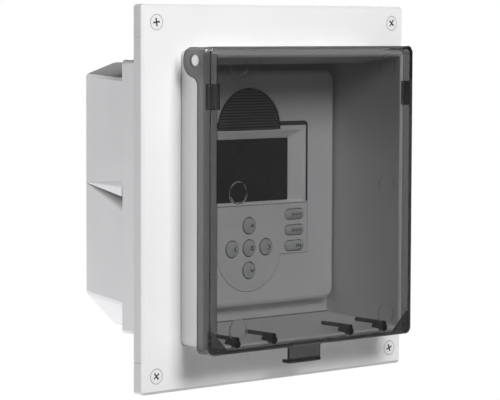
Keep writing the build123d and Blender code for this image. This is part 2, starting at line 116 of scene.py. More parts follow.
def addBump(tree, height, distance, before=None, strength=1.0):
    # a normal raised by the height; distance is a number in metres or a socket, before the normal under it
    node = addNode(tree, "ShaderNodeBump", sockets={"Strength": strength})
    tree.links.new(height, node.inputs["Height"])
    if isinstance(distance, (int, float)):
        node.inputs["Distance"].default_value = distance
    else:
        tree.links.new(distance, node.inputs["Distance"])
    if before is not None:
        tree.links.new(before, node.inputs["Normal"])
    return node.outputs["Normal"]


def splitAxes(tree, vector):
    # the X, Y and Z of a vector, by name
    node = addNode(tree, "ShaderNodeSeparateXYZ")
    tree.links.new(vector, node.inputs["Vector"])
    return node.outputs


def foldedAxes(tree):
    # the object's own X without its sign, so that left and right are alike, X with its sign ("side"), Y and Z
    place = addNode(tree, "ShaderNodeTexCoord")
    axes = splitAxes(tree, place.outputs["Object"])
    return {"X": addMath(tree, "ABSOLUTE", axes["X"]), "side": axes["X"], "Y": axes["Y"], "Z": axes["Z"]}


def insideBoxes(tree, axes, boxes):
    # 1 inside any of the boxes, each given as the limits in millimetres of some of the folded axes
    total = None
    for box in boxes:
        inside = None
        for axis, (low, high) in box.items():
            near = addMath(tree, "COMPARE", axes[axis], (low + high) / 2 * mm, (high - low) / 2 * mm)
            inside = near if inside is None else addMath(tree, "MULTIPLY", inside, near)
        total = inside if total is None else addMath(tree, "MAXIMUM", total, inside)
    return total


def layTone(material, tone, mask):
    # lays another tone over the material's base colour where the mask is 1
    tree = material.node_tree
    target = tree.nodes["Principled BSDF"].inputs["Base Color"]
    tree.links.new(addBlend(tree, mask, target.links[0].from_socket, tone), target)
    return material


def toneBoxes(material, *patches):
    # gives the base colour another tone inside each patch's boxes; a patch with rise keeps to the faces whose
    # normal has its upward part between these two limits
    tree = material.node_tree
    for patch in patches:
        mask = insideBoxes(tree, foldedAxes(tree), patch["boxes"])
        if "rise" in patch:
            low, high = patch["rise"]
            place = addNode(tree, "ShaderNodeTexCoord")
            upward = splitAxes(tree, place.outputs["Normal"])["Z"]
            facing = addMath(tree, "COMPARE", upward, (low + high) / 2, (high - low) / 2)
            mask = addMath(tree, "MULTIPLY", mask, facing)
        layTone(material, patch["tone"], mask)
    return material


def paintShadeBox(material, look):
    # painted shade: the base colour leans towards a darker tone inside one box, from low to high as Z goes up
    tree = material.node_tree
    axes = foldedAxes(tree)
    inside = insideBoxes(tree, axes, [{axis: look[axis] for axis in "XYZ"}])
    rise = addRange(tree, axes["Z"], look["from"] * mm, look["to"] * mm, look["low"], look["high"])
    return layTone(material, look["tone"], addMath(tree, "MULTIPLY", inside, rise))


def startGroup(name, inputs, outputs):
    # a shader group with float inputs {name: default} and outputs {name: socket type}
    group = bpy.data.node_groups.new(name, "ShaderNodeTree")
    for key, default in inputs.items():
        socket = group.interface.new_socket(name=key, in_out="INPUT", socket_type="NodeSocketFloat")
        socket.default_value = default
    for key, kind in outputs.items():
        group.interface.new_socket(name=key, in_out="OUTPUT", socket_type=kind)
    return group, group.nodes.new("NodeGroupInput"), group.nodes.new("NodeGroupOutput")


def placeGroup(tree, group, values):
    # a shared effect in a material, with the material's own values
    return addNode(tree, "ShaderNodeGroup", node_tree=group, sockets=values)


# Shared effects

skinEffect = {
    "inputs": {"Edge Radius": 0.0004, "Grain Size": 0.0006, "Grain Height": 0.00002, "Cloud Size": 0.03},
    "samples": 6, "edgeFrom": 0.97, "edgeTo": 0.80, "noiseFrom": 0.3, "noiseTo": 0.7,
    "Grain": {"Detail": 3.0, "Roughness": 0.6}, "Cloud": {"Detail": 2.0, "Roughness": 0.5}}


def makeMouldedSkin(look):
    # Moulded plastic: edges rounded in shading, a fine grain, and a slow change of tone from the mould.
    # Edge is how far the rounded normal leans from the face's own one, and is near 0 away from edges.
    group, given, out = startGroup("mouldedSkin", look["inputs"], {
        "Normal": "NodeSocketVector", "Edge": "NodeSocketFloat", "Grain": "NodeSocketFloat",
        "Cloud": "NodeSocketFloat"})
    links = group.links
    place = addNode(group, "ShaderNodeTexCoord")
    faceNormal = addNode(group, "ShaderNodeNewGeometry")
    rounded = addNode(group, "ShaderNodeBevel", samples=look["samples"])
    links.new(given.outputs["Edge Radius"], rounded.inputs["Radius"])
    lean = addNode(group, "ShaderNodeVectorMath", operation="DOT_PRODUCT")
    links.new(rounded.outputs["Normal"], lean.inputs[0])
    links.new(faceNormal.outputs["Normal"], lean.inputs[1])
    edge = addRange(group, lean.outputs["Value"], look["edgeFrom"], look["edgeTo"], 0.0, 1.0)
    links.new(edge, out.inputs["Edge"])
    noises = {}
    for name in ("Grain", "Cloud"):
        noises[name] = addTexture(group, "ShaderNodeTexNoise", place.outputs["Object"], look[name])
        links.new(addMath(group, "DIVIDE", 1.0, given.outputs[name + " Size"]), noises[name].inputs["Scale"])
        spread = addRange(group, noises[name].outputs["Fac"], look["noiseFrom"], look["noiseTo"], 0.0, 1.0)
        links.new(spread, out.inputs[name])
    grained = addBump(group, noises["Grain"].outputs["Fac"], given.outputs["Grain Height"],
                      rounded.outputs["Normal"])
    links.new(grained, out.inputs["Normal"])
    return group


handlingEffect = {
    "streakTurn": (0.3, 0.9, 0.5), "streakScale": (900, 60, 90), "streak": {"Scale": 1.0, "Detail": 2.0},
    "streakFrom": 0.62, "streakTo": 0.78, "smudge": {"Scale": 45.0, "Detail": 4.0, "Roughness": 0.65},
    "smudgeFrom": 0.45, "smudgeTo": 0.75, "smudgeShare": 0.5, "amount": 0.5}


def makeHandling(look):
    # Faint rubs from handling: long thin streaks and soft smudges, as one mask.
    group, given, out = startGroup("handling", {"Amount": look["amount"]}, {"Rub": "NodeSocketFloat"})
    place = addNode(group, "ShaderNodeTexCoord").outputs["Object"]
    drawn = addTexture(group, "ShaderNodeMapping", place, {
        "Rotation": look["streakTurn"], "Scale": look["streakScale"]})
    streak = addTexture(group, "ShaderNodeTexNoise", drawn.outputs["Vector"], look["streak"])
    smudge = addTexture(group, "ShaderNodeTexNoise", place, look["smudge"])
    streakMask = addRange(group, streak.outputs["Fac"], look["streakFrom"], look["streakTo"], 0.0, 1.0)
    smudgeMask = addRange(group, smudge.outputs["Fac"], look["smudgeFrom"], look["smudgeTo"], 0.0, 1.0)
    both = addMath(group, "MULTIPLY", streakMask, smudgeMask)
    soft = addMath(group, "MULTIPLY", smudgeMask, look["smudgeShare"])
    total = addMath(group, "ADD", soft, both, clamp=True)
    group.links.new(addMath(group, "MULTIPLY", total, given.outputs["Amount"]), out.inputs["Rub"])
    return group


mouldedSkin = makeMouldedSkin(skinEffect)
handling = makeHandling(handlingEffect)
print("shared effects built")


def placeSkin(tree, look):
    # the moulded skin, with its sizes from look in millimetres
    return placeGroup(tree, mouldedSkin, {
        "Edge Radius": look["edge"] * mm, "Grain Size": look["grain"] * mm,
        "Grain Height": look["grainHeight"] * mm, "Cloud Size": look["cloud"] * mm})


plastic = {
    "edgeShare": 0.35, "rub": 0.4, "rubShine": -0.08, "roughLess": 0.05, "roughMore": 0.06, "ior": 1.5}


def makeMoulded(name, look):
    # Any opaque moulded plastic: look holds the two tones, the roughness and what the shared effects take,
    # and the dictionary plastic the rest.
    look = {**plastic, **look}
    material, tree, shader = startMaterial(name)
    skin = placeSkin(tree, look)
    rub = placeGroup(tree, handling, {"Amount": look["rub"]})
    tone = addBlend(tree, skin.outputs["Cloud"], look["low"], look["high"])
    edge = addMath(tree, "MULTIPLY", skin.outputs["Edge"], look["edgeShare"])
    tree.links.new(addBlend(tree, edge, tone, look["edgeTone"]), shader.inputs["Base Color"])
    rough = addRange(tree, skin.outputs["Grain"], 0.0, 1.0, look["rough"] - look["roughLess"],
                     look["rough"] + look["roughMore"])
    smoothed = addMath(tree, "MULTIPLY", rub.outputs["Rub"], look["rubShine"])
    tree.links.new(addMath(tree, "ADD", rough, smoothed), shader.inputs["Roughness"])
    tree.links.new(skin.outputs["Normal"], shader.inputs["Normal"])
    shader.inputs["IOR"].default_value = look["ior"]
    return material


# The crease in the rear box's sides

# the band's tone is a painted highlight above the fold, and the shade values paint shade under it
crease = {
    "back": 85.5, "length": 38.5, "leastShare": 0.001, "top": 4.9, "topFall": 1.2, "foldFall": 6.6,
    "foot": 17.0, "footPower": 2.0, "depth": 4.6, "zone": {"X": (72, 80), "Y": (47.0, 86.0), "Z": (-30, 12)},
    "bandHighlightTone": 0.96, "shadeTone": 0.12, "shade": 0.9, "shadePower": 1.3, "blend": 4.5,
    "side": 74.4, "sideOut": 0.8, "proud": 1.4, "stepFall": 2.0, "stepLap": 0.3, "footFall": 8.4,
    "footLap": 0.05, "footTurn": 0.02, "lift": 0.06, "sunk": 0.12, "root": 0.5,
    "firstRing": 0.03, "lastRing": 0.998, "rings": 24, "riseSteps": 9, "smooth": 50}


def addCrease(material, look):
    # A pinched crease that starts as a point at the back and opens towards the neck. With t the share of the
    # way forward, the fold runs at top - foldFall * t. The height is -depth * t * s, where s grows evenly
    # from 0 at topFall to 1 at the fold, and then falls to 0 at foot as the square of what is left.
    tree = material.node_tree
    axes = foldedAxes(tree)
    behind = addMath(tree, "SUBTRACT", look["back"] * mm, axes["Y"])
    forward = addMath(tree, "DIVIDE", behind, look["length"] * mm)
    forward = addMath(tree, "MAXIMUM", forward, look["leastShare"])
    below = addMath(tree, "DIVIDE", addMath(tree, "SUBTRACT", look["top"] * mm, axes["Z"]),
                    addMath(tree, "MULTIPLY", forward, mm))
    upper = addRange(tree, below, look["topFall"], look["foldFall"], 0.0, 1.0)
    lower = addRange(tree, below, look["foldFall"], look["foot"], 1.0, 0.0)
    share = addMath(tree, "MINIMUM", upper, addMath(tree, "POWER", lower, look["footPower"]))
    sunk = addMath(tree, "MULTIPLY", addMath(tree, "MULTIPLY", share, -1.0), forward)
    onBox = insideBoxes(tree, axes, [look["zone"]])
    target = tree.nodes["Principled BSDF"].inputs["Normal"]
    height = addMath(tree, "MULTIPLY", sunk, onBox)
    tree.links.new(addBump(tree, height, look["depth"] * mm, target.links[0].from_socket), target)
    # painted highlight on the band above the fold, as if it catches the light, and painted shade on the side
    # under the fold, as if it sees less of the room, darkest next to the fold
    band = addMath(tree, "MULTIPLY", addRange(tree, below, -look["blend"], 0.0, 0.0, 1.0),
                   addMath(tree, "LESS_THAN", below, look["foldFall"]))
    sheltered = addMath(tree, "MULTIPLY", addMath(tree, "GREATER_THAN", below, look["foldFall"]),
                        addMath(tree, "POWER", lower, look["shadePower"]))
    sheltered = addMath(tree, "MULTIPLY", sheltered, look["shade"])
    for mask, tone in ((band, look["bandHighlightTone"]), (sheltered, look["shadeTone"])):
        layTone(material, (tone,) * 3, addMath(tree, "MULTIPLY", mask, onBox))
    return material


def makeCreaseSkin(name, sign, look):
    # The rib's upper step is drawn out into the side. At t the section starts blend * t above the rib's top,
    # a little inside the wall, rises on a cosine to the rib's face below the step, goes down over the face
    # and turns back into the wall. The wall itself stands at side + sideOut * t. The section grows with t,
    # and both end rings close in a point.
    share = np.geomspace(look["firstRing"], look["lastRing"], look["rings"])[:, None]
    rise = np.linspace(0, 1, look["riseSteps"])
    start = -look["blend"] * share
    step = (look["stepFall"] + look["stepLap"]) * share
    foot = look["footFall"] * share + look["footLap"]
    halfway = step + (foot - step) / 2
    fall = np.hstack([start + (step - start) * rise, halfway, foot, foot + look["footTurn"], start])
    face = look["proud"] * share + look["lift"]
    root = np.full_like(share, -look["root"])
    climb = -look["sunk"] + (face + look["sunk"]) * (1 - np.cos(np.pi * rise)) / 2
    out = np.hstack([climb, face, face, root, root])
    rings = np.empty((*fall.shape, 3))
    rings[..., 0] = sign * (look["side"] + look["sideOut"] * share + out)
    rings[..., 1] = look["back"] - look["length"] * share
    rings[..., 2] = look["top"] - fall
    first, last = (np.broadcast_to(ring.mean(axis=0), ring.shape)[None] for ring in (rings[0], rings[-1]))
    piece = tidyMesh(gridMesh(name, np.concatenate([first, rings, last]) * mm, pvc), look["smooth"])
    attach(piece, "enclosure")


# White moulded body and frame

whitePvc = {
    "low": (0.785, 0.785, 0.785), "high": (0.815, 0.815, 0.815), "edgeTone": (0.86, 0.86, 0.86),
    "rough": 0.42, "edge": 0.5, "grain": 0.55, "grainHeight": 0.012, "cloud": 38}
framePvc = {**whitePvc, "rough": 0.38, "edge": 0.45, "cloud": 55}
# painted shade: the frame's outer sides are darker than its front
frameSideShade = {
    "boxes": [{"X": (104.7, 105.2), "Y": (-14, 1), "Z": (-112.6, 112.6)}], "tone": (0.67, 0.67, 0.672)}
# painted shade: the wall box's recess darkens towards its roof
recessShade = {
    "X": (0, 73.95), "Y": (-35.2, 28.7), "Z": (-84.2, 82.5), "from": 15, "to": 76, "low": 0.22, "high": 0.9,
    "tone": (0.36, 0.36, 0.362)}
# painted shade: a thin dark line in the corner between the recess's back wall and its floor
recessCornerShade = {"boxes": [{"X": (0, 73.4), "Y": (27.7, 28.7), "Z": (-80.9, -79.8)}], "tone": (0.2, 0.2, 0.2)}
# painted shade on the rear box's roof, and a painted highlight on the bevel along its edge
rearTop = [{"X": (0, 75.4), "Y": (47.3, 86.1), "Z": (66, 79)}]
rearRoofShade = {"boxes": rearTop, "rise": (0.85, 1.01), "tone": (0.52, 0.52, 0.522)}
rearBevelHighlight = {"boxes": rearTop, "rise": (0.4, 0.75), "tone": (0.97, 0.97, 0.97)}


# Keypad

keypadAbs = {
    "low": (0.775, 0.78, 0.79), "high": (0.805, 0.81, 0.82), "edgeTone": (0.84, 0.845, 0.855),
    "rough": 0.5, "edge": 0.5, "grain": 0.35, "grainHeight": 0.010, "cloud": 24}
# painted shade: the keypad plate darkens towards its top, under the recess's roof
plateShade = {
    "X": (0, 72), "Y": (15, 29), "Z": (-71, 73.5), "from": 30, "to": 66, "low": 0.0, "high": 0.5,
    "tone": (0.42, 0.42, 0.422)}
# painted highlight: a light strip on the lip under the display
displayLipHighlight = {"boxes": [{"X": (0, 43.9), "Y": (20.1, 25), "Z": (-8.5, -7.15)}], "tone": (0.97, 0.97, 0.975)}
# painted shade: the groove round the display and the gap round the key panel are dark
gapShadeTone = (0.06, 0.06, 0.062)
displayGrooveShade = {
    "boxes": [{"X": (46.85, 48.55), "Y": (20.15, 21.6), "Z": (-8.5, 41.75)},
              {"X": (0, 48.55), "Y": (20.15, 21.6), "Z": (38.95, 41.75)}],
    "tone": gapShadeTone}
# painted shade in the gap round the key panel, on the housing and on the panel
panelGapShade = {"boxes": [{"X": (0, 49.2), "Y": (20.3, 25.5), "Z": (-62.5, -8.7)}], "tone": gapShadeTone}
# painted shade: the panel's edges take a dark tone all round, beside the gap round it
panelAbs = {
    **keypadAbs, "low": (0.745, 0.75, 0.76), "high": (0.775, 0.78, 0.79), "edgeTone": (0.13, 0.13, 0.133),
    "edgeShare": 1.0, "edge": 0.45, "cloud": 18}
casingAbs = {**keypadAbs, "low": (0.62, 0.62, 0.61), "high": (0.68, 0.68, 0.67), "rough": 0.55}
keyRubber = {
    "low": (0.52, 0.525, 0.53), "high": (0.56, 0.565, 0.57), "edgeTone": (0.45, 0.45, 0.455),
    "rough": 0.45, "edge": 0.25, "grain": 0.3, "grainHeight": 0.006, "cloud": 9}
markInk = {
    "low": (0.045, 0.045, 0.05), "high": (0.07, 0.07, 0.075), "edgeTone": (0.12, 0.12, 0.12),
    "rough": 0.6, "edge": 0.03, "grain": 0.2, "grainHeight": 0.002, "cloud": 3}
grilleBlack = {
    "low": (0.055, 0.055, 0.057), "high": (0.07, 0.07, 0.073), "edgeTone": (0.10, 0.10, 0.10),
    "rough": 0.55, "edge": 0.12, "grain": 0.4, "grainHeight": 0.008, "cloud": 10}
# painted shade: the floors of the grille's slots are darker than the rib tops
grilleSlotShade = {"boxes": [{"X": (0, 27), "Y": (20.1, 22.5), "Z": (36, 64)}], "tone": (0.012, 0.012, 0.012)}
soundCan = {**grilleBlack, "rough": 0.4, "edge": 0.3}
matSilicone = {
    "low": (0.16, 0.16, 0.165), "high": (0.21, 0.21, 0.215), "edgeTone": (0.3, 0.3, 0.3),
    "rough": 0.62, "edge": 0.4, "grain": 0.5, "grainHeight": 0.01, "cloud": 14}
terminalGreen = {
    "low": (0.03, 0.15, 0.06), "high": (0.045, 0.19, 0.08), "edgeTone": (0.10, 0.28, 0.14),
    "rough": 0.4, "edge": 0.25, "grain": 0.5, "grainHeight": 0.008, "cloud": 12}

displayGlass = {
    "low": (0.012, 0.012, 0.013), "high": (0.020, 0.020, 0.022), "roughLow": 0.10, "roughHigh": 0.24,
    "rub": 1.0, "edge": 0.25, "grain": 0.8, "grainHeight": 0.001, "cloud": 20}


def makeLens(name, look):
    # The display's dark window: glossy, with a slight haze of rubs.
    material, tree, shader = startMaterial(name)
    skin = placeSkin(tree, look)
    rub = placeGroup(tree, handling, {"Amount": look["rub"]})
    tone = addBlend(tree, skin.outputs["Cloud"], look["low"], look["high"])
    tree.links.new(tone, shader.inputs["Base Color"])
    tree.links.new(addRange(tree, rub.outputs["Rub"], 0.0, 1.0, look["roughLow"], look["roughHigh"]),
                   shader.inputs["Roughness"])
    tree.links.new(skin.outputs["Normal"], shader.inputs["Normal"])
    return material


def dressPattern(tree, shader, pattern, look):
    # tone, roughness and, where look has a height in millimetres, relief all follow one pattern
    tree.links.new(addBlend(tree, pattern, look["low"], look["high"]), shader.inputs["Base Color"])
    rough = addRange(tree, pattern, 0.0, 1.0, look["roughLow"], look["roughHigh"])
    tree.links.new(rough, shader.inputs["Roughness"])
    if "height" in look:
        relief = addBump(tree, pattern, look["height"] * mm, strength=look["strength"])
        tree.links.new(relief, shader.inputs["Normal"])


gasketFoam = {
    "cells": {"Scale": 1800.0}, "low": (0.018, 0.018, 0.019), "high": (0.05, 0.05, 0.052), "roughLow": 0.85,
    "roughHigh": 0.95, "height": 0.1, "strength": 0.8}
lcdGlass = {
    "cells": {"Scale": 1400.0, "Randomness": 0.0}, "low": (0.05, 0.065, 0.05), "high": (0.09, 0.11, 0.085),
    "roughLow": 0.12, "roughHigh": 0.22}


def makeCells(name, look):
    # A pattern of small cells by the distance from their middles: the foam's pitted skin, where they lie at
    # random, and the display module's dot grid, where they are even.
    material, tree, shader = startMaterial(name)
    place = addNode(tree, "ShaderNodeTexCoord").outputs["Object"]
    cells = addTexture(tree, "ShaderNodeTexVoronoi", place, look["cells"])
    dressPattern(tree, shader, cells.outputs["Distance"], look)
    return material


solderMask = {
    "tracks": {
        "Scale": 160.0, "Mortar Size": 0.06, "Mortar Smooth": 0.2, "Brick Width": 1.7, "Row Height": 0.45},
    "turn": (math.pi / 2, 0, 0), "low": (0.012, 0.085, 0.035), "high": (0.03, 0.16, 0.07), "roughLow": 0.28,
    "roughHigh": 0.42, "height": 0.05, "strength": 0.6}


def makeBoard(name, look):
    # Green solder mask with faint tracks: bands from a turned brick pattern raise and lighten it.
    material, tree, shader = startMaterial(name)
    place = addNode(tree, "ShaderNodeTexCoord").outputs["Object"]
    turned = addTexture(tree, "ShaderNodeMapping", place, {"Rotation": look["turn"]})
    tracks = addTexture(tree, "ShaderNodeTexBrick", turned.outputs["Vector"], look["tracks"])
    dressPattern(tree, shader, tracks.outputs["Fac"], look)
    return material


# Screws

paintedScrew = {
    "low": (0.74, 0.74, 0.735), "high": (0.79, 0.79, 0.785), "metal": (0.42, 0.42, 0.42), "wearFrom": 0.45,
    "wearRun": 0.25, "coated": True, "rough": 0.35, "roughLess": 0.06, "roughMore": 0.08,
    "edge": 0.22, "grain": 0.4, "grainHeight": 0.006, "cloud": 1.6,
    # painted shade in the cross and in a ring round each head
    "rimPlace": (94.6, 102.1), "rimFrom": 4.05, "rimTo": 4.5, "rimShare": 0.8, "rimShadeTone": (0.14, 0.14, 0.14),
    "face": -7.9, "crossFall": 0.5}
zincScrew = {
    **paintedScrew, "low": (0.50, 0.50, 0.49), "high": (0.62, 0.61, 0.58), "metal": (0.72, 0.72, 0.71),
    "wearFrom": 0.4, "coated": False, "rough": 0.38, "grain": 0.25, "rimPlace": None}


def screwShade(tree, look):
    # painted shade: 1 down inside the cross, and rimShare on a thin ring round each head, by its distance
    # from the middle
    axes = foldedAxes(tree)
    x, z = look["rimPlace"]
    sideways = addMath(tree, "SUBTRACT", axes["X"], x * mm)
    upwards = addMath(tree, "SUBTRACT", addMath(tree, "ABSOLUTE", axes["Z"]), z * mm)
    distance = addReach(tree, sideways, upwards)
    ring = addRange(tree, distance, look["rimFrom"] * mm, look["rimTo"] * mm, 0.0, look["rimShare"])
    deep = addRange(tree, axes["Y"], look["face"] * mm, (look["face"] + look["crossFall"]) * mm, 0.0, 1.0)
    return addMath(tree, "MAXIMUM", ring, deep)


def makeScrewMetal(name, look):
    # Screw heads: paint or zinc, worn through to bright metal along the edges of the cross, with painted
    # shade in the cross and round the head where a rim place is given.
    material, tree, shader = startMaterial(name)
    skin = placeSkin(tree, look)
    worn = addMath(tree, "MULTIPLY", skin.outputs["Edge"], skin.outputs["Cloud"])
    wear = addRange(tree, worn, look["wearFrom"], look["wearFrom"] + look["wearRun"], 0.0, 1.0)
    tone = addBlend(tree, skin.outputs["Cloud"], look["low"], look["high"])
    tone = addBlend(tree, wear, tone, look["metal"])
    if look["rimPlace"]:
        tone = addBlend(tree, screwShade(tree, look), tone, look["rimShadeTone"])
    tree.links.new(tone, shader.inputs["Base Color"])
    if look["coated"]:
        tree.links.new(wear, shader.inputs["Metallic"])
    else:
        shader.inputs["Metallic"].default_value = 1.0
    tree.links.new(addRange(tree, skin.outputs["Grain"], 0.0, 1.0, look["rough"] - look["roughLess"],
                            look["rough"] + look["roughMore"]), shader.inputs["Roughness"])
    tree.links.new(skin.outputs["Normal"], shader.inputs["Normal"])
    return material


# Smoke polycarbonate of the cover and its latch

smokeCover = {
    "density": 262.0, "tint": (0.10, 0.10, 0.105), "ior": 1.58, "roughLow": 0.012, "roughHigh": 0.045,
    "rub": 1.0, "edge": 0.4, "samples": 6, "sideFrom": 0.7, "sideTo": 0.9, "sideShare": 0.70,
    "thinTone": (1, 1, 1), "thickTone": (0.11, 0.11, 0.113), "lumpSize": 1.3, "lumpDetail": 2.0,
    "lumpHeight": 0.25,
    "thick": [
        {"X": (73.2, 79.8), "Y": (-37.95, -34.5), "Z": (52.4, 67.2)},
        {"X": (66.9, 79.1), "Y": (-37.95, -36.5), "Z": (-86.1, -74.1)},
        {"X": (56.9, 62.1), "Y": (-37.95, -12.5), "Z": (-86.1, -78.8)},
        {"X": (28.4, 33.6), "Y": (-37.95, -12.5), "Z": (-86.1, -78.8)}],
    # painted shade: strips of the pane along its left edge and its top pass less light
    "shadeBands": [
        ({"side": (-79.3, -75.2), "Y": (-38.4, -38.0), "Z": (-84.5, 84.5)}, 0.92),
        ({"side": (-75.2, 79.3), "Y": (-38.4, -38.0), "Z": (82.9, 86.3)}, 0.35)],
    "pinMarks": {
        "across": 60.0, "heights": (-75.0, 4.5, 77.0), "radius": 6.45, "width": 0.32, "depth": 0.08,
        "share": 0.22, "rough": 0.14}}
smokeLatch = {
    **smokeCover, "thick": [{"X": (0, 16), "Y": (-33, -25), "Z": (-101, -88)}], "shadeBands": [], "pinMarks": None,
    "thickTone": (0.4, 0.4, 0.405), "lumpHeight": 0.0}


def addPinMarks(tree, axes, marks):
    # Rings left by the mould's round pins: for each mark the distance from the middle, less the radius, goes
    # through a narrow bell, and the largest bell wins. Marks on the left and right share one chain by |x|.
    sideways = addMath(tree, "SUBTRACT", axes["X"], marks["across"] * mm)
    total = None
    for height in marks["heights"]:
        distance = addReach(tree, sideways, addMath(tree, "SUBTRACT", axes["Z"], height * mm))
        off = addMath(tree, "ABSOLUTE", addMath(tree, "SUBTRACT", distance, marks["radius"] * mm))
        ring = addRange(tree, off, 0.0, marks["width"] * mm, 1.0, 0.0)
        total = ring if total is None else addMath(tree, "MAXIMUM", total, ring)
    return total


def clearTo(tree, path, ray, shader, clear):
    # the shader, but clear to one kind of ray
    mix = addNode(tree, "ShaderNodeMixShader")
    tree.links.new(path.outputs[ray], mix.inputs["Fac"])
    tree.links.new(shader, mix.inputs[1])
    tree.links.new(clear, mix.inputs[2])
    return mix.outputs["Shader"]


def makeSmoke(name, look):
    # Tinted clear plastic: the body takes light by the length that it travels inside, and lamps pass
    # straight through. Sides that face X, the thick lugs, the bands along the pane's edges and the pin marks
    # pass less light at each surface; on the sides and the bands this is painted shade. The lugs are lumpy,
    # fine rubs change the roughness, and the pin marks are shallow rings.
    material, tree, shader = startMaterial(name)
    shader.inputs["Transmission Weight"].default_value = 1.0
    shader.inputs["IOR"].default_value = look["ior"]
    place = addNode(tree, "ShaderNodeTexCoord")
    axes = foldedAxes(tree)
    lugs = insideBoxes(tree, axes, look["thick"])
    # painted shade: sides that face X pass less light
    facing = addMath(tree, "ABSOLUTE", splitAxes(tree, place.outputs["Normal"])["X"])
    sides = addRange(tree, facing, look["sideFrom"], look["sideTo"], 0.0, look["sideShare"])
    loss = addMath(tree, "MAXIMUM", lugs, sides)
    # painted shade along the pane's edges
    for box, share in look["shadeBands"]:
        band = addMath(tree, "MULTIPLY", insideBoxes(tree, axes, [box]), share)
        loss = addMath(tree, "MAXIMUM", loss, band)
    rub = placeGroup(tree, handling, {"Amount": look["rub"]})
    rough = addRange(tree, rub.outputs["Rub"], 0.0, 1.0, look["roughLow"], look["roughHigh"])
    rounded = addNode(tree, "ShaderNodeBevel", samples=look["samples"], sockets={"Radius": look["edge"] * mm})
    lumps = addTexture(tree, "ShaderNodeTexNoise", place.outputs["Object"], {
        "Scale": 1 / (look["lumpSize"] * mm), "Detail": look["lumpDetail"]})
    normal = addBump(tree, addMath(tree, "MULTIPLY", lumps.outputs["Fac"], lugs), look["lumpHeight"] * mm,
                     rounded.outputs["Normal"])
    marks = look["pinMarks"]
    if marks:
        rings = addPinMarks(tree, axes, marks)
        loss = addMath(tree, "MAXIMUM", loss, addMath(tree, "MULTIPLY", rings, marks["share"]))
        rough = addMath(tree, "MAXIMUM", rough, addMath(tree, "MULTIPLY", rings, marks["rough"]))
        normal = addBump(tree, rings, marks["depth"] * mm, normal)
    tree.links.new(normal, shader.inputs["Normal"])
    tree.links.new(rough, shader.inputs["Roughness"])
    tree.links.new(addBlend(tree, loss, look["thinTone"], look["thickTone"]), shader.inputs["Base Color"])
    clear = addNode(tree, "ShaderNodeBsdfTransparent").outputs["BSDF"]
    path = addNode(tree, "ShaderNodeLightPath")
    # light scattered inside goes out unbent, and lamps reach what the cover shuts in
    soft = clearTo(tree, path, "Is Diffuse Ray", shader.outputs["BSDF"], clear)
    surface = clearTo(tree, path, "Is Shadow Ray", soft, clear)
    body = addNode(tree, "ShaderNodeVolumeAbsorption", sockets={
        "Color": (*look["tint"], 1), "Density": look["density"]})
    output = tree.nodes["Material Output"]
    tree.links.new(surface, output.inputs["Surface"])
    tree.links.new(body.outputs["Volume"], output.inputs["Volume"])
    return material


# Finishes on the CAD nodes

def dressNode(node, material):
    # a CAD node keeps its mesh and takes the material on every slot
    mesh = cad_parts[node].data
    mesh.materials.clear()
    mesh.materials.append(material)


pvc = paintShadeBox(addCrease(makeMoulded("whitePvc", whitePvc), crease), recessShade)
keys = makeMoulded("keyRubber", keyRubber)
ink = makeMoulded("markInk", markInk)
nodeLooks = {
    "wall_box": toneBoxes(pvc, recessCornerShade, rearRoofShade, rearBevelHighlight),
    "trim_frame": toneBoxes(makeMoulded("framePvc", framePvc), frameSideShade),
    "trim_gasket": makeCells("gasketFoam", gasketFoam),
    "trim_screws": makeScrewMetal("paintedScrew", paintedScrew),
    "cover": makeSmoke("smokeCover", smokeCover),
    "latch": makeSmoke("smokeLatch", smokeLatch),
    "keypad_housing": toneBoxes(paintShadeBox(makeMoulded("keypadAbs", keypadAbs), plateShade), displayLipHighlight,
                                displayGrooveShade, panelGapShade),
    "speaker_grille": toneBoxes(makeMoulded("grilleBlack", grilleBlack), grilleSlotShade),
    "display_lens": makeLens("displayLens", displayGlass),
    "key_panel": toneBoxes(makeMoulded("panelAbs", panelAbs), panelGapShade),
    "keymat": makeMoulded("matSilicone", matSilicone),
    "circuit_board": makeBoard("solderMask", solderMask),
    "lcd_module": makeCells("lcdGlass", lcdGlass),
    "sounder": makeMoulded("soundCan", soundCan),
    "terminal_block": makeMoulded("terminalGreen", terminalGreen),
    "rear_casing": makeMoulded("casingAbs", casingAbs),
    "casing_screws": makeScrewMetal("zincScrew", zincScrew)}
for node, material in nodeLooks.items():
    dressNode(node, material)
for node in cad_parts:
    if node.startswith("key_") and node != "key_panel":
        dressNode(node, keys)
print("finishes on", len(nodeLooks), "nodes and the keys")


# Meshes from arrays

def gridMesh(name, rings, material):
    # rings is an array (rows, columns, 3): rows run along the profile and columns round the outline, so
    # each quad joins two neighbours on two rows. Rows that shrink to a point are merged by tidyMesh.
    rows, columns = rings.shape[:2]
    index = np.arange(rows * columns).reshape(rows, columns)
    following = np.roll(index, -1, axis=1)
    faces = np.stack([index[:-1], following[:-1], following[1:], index[1:]], axis=-1).reshape(-1, 4)
    mesh = bpy.data.meshes.new(name)
    mesh.from_pydata(rings.reshape(-1, 3), [], faces)
    piece = bpy.data.objects.new(name, mesh)
    scene.collection.objects.link(piece)
    mesh.materials.append(material)
    return piece


meshLimits = {"samePoint": 1e-7, "noLength": 1e-8}   # in metres


def tidyMesh(piece, smoothAngle=None):
    # joins doubled points, drops faces without area and turns the faces outwards
    work = bmesh.new()
    work.from_mesh(piece.data)
    bmesh.ops.remove_doubles(work, verts=work.verts, dist=meshLimits["samePoint"])
    bmesh.ops.dissolve_degenerate(work, edges=work.edges, dist=meshLimits["noLength"])
    bmesh.ops.recalc_face_normals(work, faces=work.faces)
    work.to_mesh(piece.data)
    work.free()
    if smoothAngle is not None:
        piece.data.shade_smooth()
        piece.data.set_sharp_from_angle(angle=math.radians(smoothAngle))
    return piece


# Key caps and their marks

